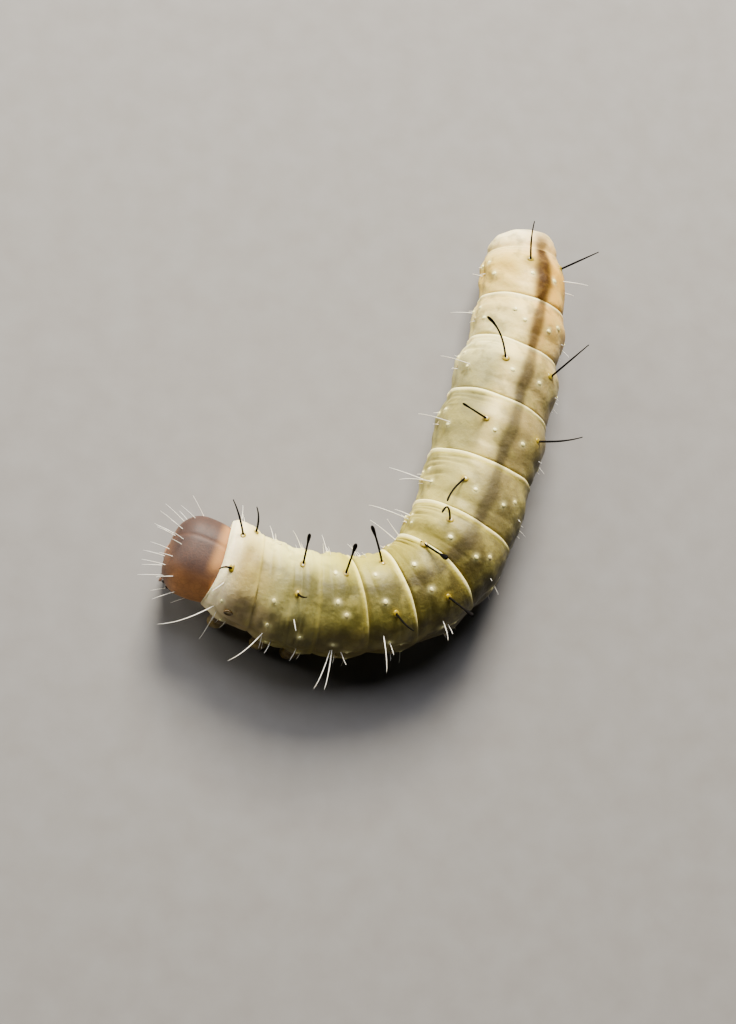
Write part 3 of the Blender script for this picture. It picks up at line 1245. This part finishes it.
def headings(place, around, lean, toward):
    """Unit directions: out * cos(lean) + (forwards * cos(toward) + left * sin(toward)) * sin(lean)."""
    out, forward = outward(place, around), -rearward(place)
    left = np.cross(out, forward)
    left *= np.sign(np.sum(left * leftward(place), -1, keepdims=True))
    lean, toward = np.radians(lean)[..., None], np.radians(toward)[..., None]
    return out * np.cos(lean) + (forward * np.cos(toward) + left * np.sin(toward)) * np.sin(lean)


def curved_paths(bases, first, last, lengths, rows, root):
    """Paths that start along one direction and end along another: sums of steps along a blend of the two."""
    blend = (np.linspace(0, 1, rows) ** 1.5)[None, :, None]
    heading = first[:, None] * (1 - blend) + last[:, None] * blend
    heading /= np.linalg.norm(heading, axis=-1, keepdims=True)
    steps = heading * (lengths / (rows - 1))[:, None, None]
    walk = np.cumsum(steps, axis=1) - steps[:, :1]
    buried = bases - first * root
    return np.concatenate([buried[:, None], bases[:, None] + walk], axis=1)


def unwrapped(place, around):
    """Where these places are on the skin's unrolled map, as shares of its columns and rows."""
    row = np.interp(place - sway(place, around), ROW_PLACES, np.arange(len(ROW_PLACES)) + len(COLLAR))
    column = np.interp((around + 180) % 360 - 180, COLUMN_ANGLES, np.arange(COLUMNS))
    return np.stack([column / COLUMNS, (row + 1) / (len(skin_points) + 1)], -1)


def buttons(place, around, along, across, profile, columns):
    """Round buttons on the skin: base + out * height + (rear * along * cos + side * across * sin) * share."""
    base, out, rear = skin_surface(place, around)[0], outward(place, around), rearward(place)
    side = np.cross(rear, out)
    angle = 2 * np.pi * np.arange(columns) / columns
    rim = rear[:, None] * (along[:, None] * np.cos(angle))[..., None]
    rim = rim + side[:, None] * (across[:, None] * np.sin(angle))[..., None]
    share, height = np.array(profile).T
    size = np.sqrt(along * across)[:, None]
    middles = base[:, None] + out[:, None] * (height * size)[..., None]
    return middles[:, :, None] + rim[:, None] * share[:, None, None]


print("a point of the back:", skin_surface(np.array([6.5]), np.array([0.0]))[0].round(2))

# %% [markdown]
# The warts themselves are low waxy domes. They are finer than the skin's grid, so they are a joined piece
# of their own, set on the swellings that the skin already has at the same places. The light catches each
# one.

# %% Warts
# The dome's outline from its buried rim to its top, as (share of the radius, height in radii).
DOME = ((0.92, -0.5), (1.0, -0.12), (0.97, 0.0), (0.85, 0.1), (0.63, 0.2), (0.38, 0.26), (0.14, 0.29))
PALE_RADIUS, YELLOW_RADIUS, WART_STRETCH = 0.085, 0.16, 1.25

wart_rng = np.random.default_rng(3)
place, around, yellow = np.array([[w.place, w.around, w.yellow] for w in WARTS]).T
size = (PALE_RADIUS + (YELLOW_RADIUS - PALE_RADIUS) * yellow) * wart_rng.uniform(0.85, 1.15, len(WARTS))
wax, tree, shader = new_material(
    "waxy_wart",
    Roughness=0.3,
    Subsurface_Weight=0.3,
    Subsurface_Radius=(1.0, 0.8, 0.4),
    Subsurface_Scale=0.1 * MM,
    Coat_Weight=0.25,
    Coat_Roughness=0.15,
)
tree.links.new(painted(tree, WART_PALE, (WART_YELLOW, "yellow")), shader.inputs["Base Color"])
wart_grid = buttons(place, around, size, size * WART_STRETCH, DOME, 14)
wart_values = {"yellow": yellow[:, None, None]}
make_tubes("warts", wart_grid, wax, FLESH[:12], unwrapped(place, around), wart_values)

# %% [markdown]
# A larva breathes through a row of holes along each flank, one on the first ring behind the head and one on
# each of the first eight rings of the abdomen. Each is a raised horny rim round a sunken tan sieve plate.

# %% Breathing holes
# share of the ring, angle from the midline, and half sizes along and across the body
HOLE = (0.4, 101, 0.09, 0.14)
FRONT_HOLE = (0.57, 81, 0.22, 0.17)
# The outline from the buried rim over its crest to the plate's middle, as in the warts' dome.
RIM = ((0.9, -0.5), (1.08, 0.1), (1.1, 0.3), (1.0, 0.46), (0.85, 0.5), (0.7, 0.42))
PLATE = ((0.6, 0.26), (0.3, 0.2), (0.08, 0.2))
PLATE_TAN, RIM_TAN, FRONT_RIM = "#B09A5C", "#C9B57C", "#6B5222"

hole_rings = [0] + [STARTS[f"abdomen_{number}"] for number in range(1, 9)]
spots = []
for index in hole_rings:
    share, angle, *halves = HOLE if index else FRONT_HOLE
    spots += [(index + share, SEGMENTS[index].roll + side * angle, *halves) for side in (1, -1)]
place, around, along, across = np.array(spots).T
horn, tree, shader = new_material("dark_horn_rim", Roughness=0.35, Coat_Weight=0.2, Coat_Roughness=0.2)
rim_tint = painted(tree, RIM_TAN, (FRONT_RIM, "front"))
tree.links.new(painted(tree, PLATE_TAN, (rim_tint, ("share", 0.55, 0.7))), shader.inputs["Base Color"])
hole_grid = buttons(place, around, along, across, RIM + PLATE, 20)
hole_values = {"front": (place < 1)[:, None, None], "share": np.array(RIM + PLATE)[:, :1]}
carriers = [SEGMENTS[index].name for index in hole_rings]
make_tubes("breathing_holes", hole_grid, horn, carriers, unwrapped(place, around), hole_values)

# %% [markdown]
# The black bristles are flattened into a paddle at the tip. Each leaves its wart in one direction and ends
# in another, so its path is a curve that turns evenly from the first to the second.

# %% Black clubbed bristles
SHAFT_RADIUS = 0.054
CLUB_SPAN, CLUB_FLATNESS = 2.5, 0.5
CLUB_FACING = (-0.17, -0.3, 0.94)
BRISTLE_ROOT, BRISTLE_ROWS = 0.25, 34
# Along the bristle: how far it is from the shaft's width to the paddle's, and the taper without a paddle.
CLUB_MARKS, CLUB_SWELL = (0, 0.68, 0.78, 0.9, 0.96, 1), (0, 0, 0.5, 1, 0.9, 0.1)
THIN_MARKS, THIN_TAPER = (0, 0.05, 0.5, 1), (1.15, 1, 0.9, 0.45)

bristle_table = np.array([[STARTS[b.segment] + b.along, *b[2:]] for b in BRISTLES], float)
place, around, length, lean, toward, tip_lean, tip_toward, club = bristle_table.T
bases = skin_surface(place, around)[0]
first, last = headings(place, around, lean, toward), headings(place, around, tip_lean, tip_toward)
paths = curved_paths(bases, first, last, length, BRISTLE_ROWS, BRISTLE_ROOT)
t = np.append(0, np.linspace(0, 1, BRISTLE_ROWS))
swell = club[:, None] * np.interp(t, CLUB_MARKS, CLUB_SWELL)
thin = np.interp(t, THIN_MARKS, THIN_TAPER) ** (1 - club[:, None])
radii = SHAFT_RADIUS * (thin + (CLUB_SPAN - 1) * swell)
bristle_grid = sweep(paths, radii, 12, 1 - CLUB_FLATNESS * swell, CLUB_FACING)
black_chitin = chitin("black_bristle_chitin", "#020202", "#080504", 0.4, 0.65, 0.0, 0.06)
carriers = sorted({b.segment for b in BRISTLES})
make_tubes("black_bristles", bristle_grid, black_chitin, carriers, unwrapped(place, around))

# %% [markdown]
# Fine pale hairs stand on the flanks, where they fringe the outline. The longest are placed one by one, as
# their likes grow on the real animal in this pose, and the rest follow a plan that a seeded draw varies.

# %% Where the pale hairs grow
Hair = namedtuple("Hair", "segment along around length lean toward")
LONG_HAIRS = (
    Hair("thorax_1", 0.29, 76, 3.0, 50, 0),
    Hair("thorax_1", 0.30, 35, 0.8, 50, 45),
    Hair("thorax_1", 0.36, 105, 1.4, 25, -60),
    Hair("thorax_2", 0.34, 76, 2.4, 40, -5),
    Hair("thorax_2", 0.62, 91, 0.8, 30, 40),
    Hair("thorax_3", 0.10, 38, 0.7, 30, 105),
    Hair("abdomen_1", 0.27, 79, 2.2, 25, 5),
    Hair("abdomen_1", 0.30, 78, 2.2, 15, -10),
    Hair("abdomen_1", 0.46, 82, 0.9, 25, -105),
    Hair("abdomen_2", 0.19, 56, 2.0, 25, 50),
    Hair("abdomen_2", 0.30, 68, 0.8, 10, -40),
    Hair("abdomen_3", 0.32, 61, 1.2, 25, 5),
    Hair("abdomen_3", 0.40, 73, 0.8, 30, -50),
    Hair("abdomen_3", 0.69, -79, 1.6, 15, -40),
    Hair("abdomen_3", 0.83, -82, 1.0, 10, 110),
    Hair("abdomen_4", 0.43, -82, 2.1, 20, -35),
    Hair("abdomen_4", 0.50, -79, 0.8, 20, -50),
    Hair("abdomen_5", 0.30, -64, 1.8, 30, -10),
    Hair("abdomen_5", 0.37, -82, 1.8, 15, -70),
    Hair("abdomen_6", 0.33, -58, 1.9, 20, -30),
    Hair("abdomen_7", 0.32, -56, 1.8, 20, -40),
    Hair("abdomen_8", 0.61, -101, 1.4, 30, 95),
    Hair("abdomen_9", 0.39, -91, 0.8, 40, -65),
    Hair("abdomen_9", 0.46, 58, 1.5, 15, -20),
    Hair("abdomen_9", 0.38, 78, 0.7, 45, -55),
)
# Shorter hairs as (share of the segment, angle from the midline, length), on both sides of every segment.
# Where a side has long hairs, they take the place of the planned ones above the zone's angle, and from the
# third ring of the abdomen on the planned ones are shorter.
HAIR_PLAN = ((0.35, 52, 0.4), (0.32, 72, 1.0), (0.42, 80, 0.5), (0.36, 97, 0.6))
HAIR_PLAN += ((0.58, 110, 0.5), (0.5, 128, 0.5))
LONG_HAIR_ZONE = 85
SHORT_FROM, SHORT_SHARE = STARTS["abdomen_3"], 0.45
HAIR_THICKNESS = 0.026
SHORT_LEAN = 30

hair_rng = np.random.default_rng(5)
hairs = [(STARTS[h.segment] + h.along, *h[2:], HAIR_THICKNESS) for h in LONG_HAIRS]
for index, segment in enumerate(SEGMENTS[:-1]):
    placed = {math.copysign(1, h.around) for h in LONG_HAIRS if h.segment == segment.name}
    for share, angle, length in HAIR_PLAN:
        length = length * (SHORT_SHARE if index >= SHORT_FROM else 1)
        for side in (1, -1):
            draw = hair_rng.uniform(-1, 1, 4)
            if angle < LONG_HAIR_ZONE and side in placed:
                continue
            spot = index + share + 0.04 * draw[0], segment.roll + side * (angle + 3 * draw[1])
            toward = side * (40 + 45 * draw[3])
            thickness = HAIR_THICKNESS * (0.6 + 0.2 * length)
            hairs.append((*spot, length * (1 + 0.25 * draw[2]), SHORT_LEAN, toward, thickness))
print("pale hairs:", len(hairs), "of them placed by hand:", len(LONG_HAIRS))

# %% [markdown]
# The hairs are clear, so they catch the light as thin white lines. Each starts a little further from the
# skin than its heading and ends a little nearer to it, which bends it, and none dips to the floor.

# %% Pale hairs
HAIR_BEND = 0.28
HAIR_ROWS, HAIR_SIDES = 12, 6
HAIR_ROOT, HAIR_TIP = 0.1, 0.15
FLOOR_GAP = 0.06

place, around, length, lean, toward, width = np.array(hairs).T
heading, bend = headings(place, around, lean, toward), HAIR_BEND * outward(place, around)
bases = skin_surface(place, around)[0]
paths = curved_paths(bases, heading + bend, heading - bend, length, HAIR_ROWS, HAIR_ROOT)
paths[..., 2] = np.maximum(paths[..., 2], FLOOR_GAP)
taper = np.append(1, np.linspace(1, HAIR_TIP, HAIR_ROWS) ** 0.7)
hair_grid = sweep(paths, width[:, None] * taper, HAIR_SIDES)
pale_hair, tree, shader = new_material("clear_pale_hair", Roughness=0.3, Transmission_Weight=0.15, IOR=1.5)
marbled(tree, shader, 0.6, ((0.3, "#F0EAD6"), (0.7, "#FFFEF6")))
make_tubes("pale_hairs", hair_grid, pale_hair, FLESH[:12], unwrapped(place, around))

# %% [markdown]
# The face carries its own pale hairs. They point forwards, past the forehead and the cheeks, so each
# heading is a blend of straight ahead and straight out of the capsule.

# %% Face hairs
# azimuth to the left of straight ahead, elevation, length in millimetres, the same on both sides.
FACE_HAIRS = (
    (8, 62, 0.6),
    (30, 48, 0.7),
    (14, 36, 1.0),
    (38, 28, 1.2),
    (62, 34, 0.9),
    (20, 8, 1.1),
    (52, 8, 1.3),
    (80, 6, 1.2),
    (34, -14, 1.0),
    (70, -22, 1.0),
    (98, -14, 0.8),
)
AHEAD_SHARE = 1.3
FACE_BEND, FACE_ROOT, FACE_THICKNESS = 0.2, 0.08, 0.8

face_rng = np.random.default_rng(8)
azimuth, elevation, length = np.concatenate([FACE_HAIRS, np.array(FACE_HAIRS) * [-1, 1, 1]]).T
azimuth = azimuth + face_rng.uniform(-4, 4, len(azimuth))
elevation = elevation + face_rng.uniform(-4, 4, len(elevation))
unit = azimuth_direction(azimuth, elevation)
bases = in_head(head_surface(unit)[0])
heading = (unit + [AHEAD_SHARE, 0, 0] + face_rng.uniform(-0.25, 0.25, unit.shape)) @ HEAD_AXES
heading /= np.linalg.norm(heading, axis=-1, keepdims=True)
bend = FACE_BEND * UP
paths = curved_paths(bases, heading + bend, heading - bend, length, HAIR_ROWS, FACE_ROOT)
face_grid = sweep(paths, HAIR_THICKNESS * FACE_THICKNESS * taper, HAIR_SIDES)
make_tubes("face_hairs", face_grid, pale_hair, ["head"])

# %% [markdown]
# The setting is a plain pale floor under soft studio light. The floor is stage only, so it is handed over
# as such and doesn't become part of the model. The key light is large and shines from beyond the tail at
# half height, and two weaker ones from above and from the head's side keep its shadows soft.

# %% Floor and lights
FLOOR_HALF = 300.0
# direction from the larva, distance and edge in millimetres, power in watts and tint
LIGHTS = {
    "key": ((0.08, 1.0, 0.85), 220, 90, 2.3, "#FFF6E6"),
    "top": ((0.0, 0.5, 1.0), 260, 120, 0.55, "#F6F6FF"),
    "side": ((-1.0, 0.6, 0.6), 220, 140, 0.45, "#FFFAF2"),
}
SKY_TINT, SKY_STRENGTH = "#DDE2E8", 0.025

floor_mesh = bpy.data.meshes.new("floor")
floor_corners = np.array([[-1, -1, 0], [1, -1, 0], [1, 1, 0], [-1, 1, 0]]) * FLOOR_HALF * MM
floor_mesh.from_pydata(floor_corners.tolist(), [], [[0, 1, 2, 3]])
floor = bpy.data.objects.new("floor", floor_mesh)
bpy.context.scene.collection.objects.link(floor)
paper, tree, shader = new_material("pale_studio_paper", Roughness=0.85)
marbled(tree, shader, 1.5, ((0.3, "#6E6C69"), (0.7, "#737270")), detail=4.0)
floor_mesh.materials.append(paper)

for name, (direction, distance, size, power, tint) in LIGHTS.items():
    light_data = bpy.data.lights.new(name, "AREA")
    light_data.size = size * MM
    light_data.energy = power
    light_data.color = linear(tint)[:3]
    light = bpy.data.objects.new(name, light_data)
    aim = Vector(direction).normalized()
    light.location = aim * (distance * MM)
    light.rotation_euler = aim.to_track_quat("Z", "Y").to_euler()
    bpy.context.scene.collection.objects.link(light)

world = bpy.data.worlds.new("studio")
bpy.context.scene.world = world
world.use_nodes = True
sky = world.node_tree.nodes["Background"].inputs
sky["Color"].default_value = linear(SKY_TINT)
sky["Strength"].default_value = SKY_STRENGTH
print("lights:", ", ".join(LIGHTS))

# %% [markdown]
# The camera looks down steeply from over the head end. Its right is square to the y axis and to the line of
# sight, and its upward direction follows from these two.

# %% Camera
# Degrees by which the line of sight leans to the left and to the near side from straight above.
LEAN_LEFT, LEAN_NEAR = 10.0, 17.3
CAMERA_DISTANCE = 100.0
AIM = Vector((-0.26, -3.56, 2.5))
SENSOR = 36.0
FOCAL_LENGTH, PICTURE_HEIGHT = 2000, 1024

x, y = -math.sin(math.radians(LEAN_LEFT)), -math.sin(math.radians(LEAN_NEAR))
back = Vector((x, y, math.sqrt(1 - x**2 - y**2)))
right = Vector((0, 1, 0)).cross(back).normalized()
camera_data = bpy.data.cameras.new("camera")
camera_data.sensor_width = SENSOR
camera_data.lens = SENSOR * FOCAL_LENGTH / PICTURE_HEIGHT
camera_data.clip_start = 1 * MM
camera = bpy.data.objects.new("camera", camera_data)
camera_axes = Matrix((right, back.cross(right), back)).transposed()
camera.matrix_world = Matrix.Translation((AIM + back * CAMERA_DISTANCE) * MM) @ camera_axes.to_4x4()
bpy.context.scene.collection.objects.link(camera)
bpy.context.scene.camera = camera
print("camera at", [round(x / MM, 1) for x in camera.location], "mm")
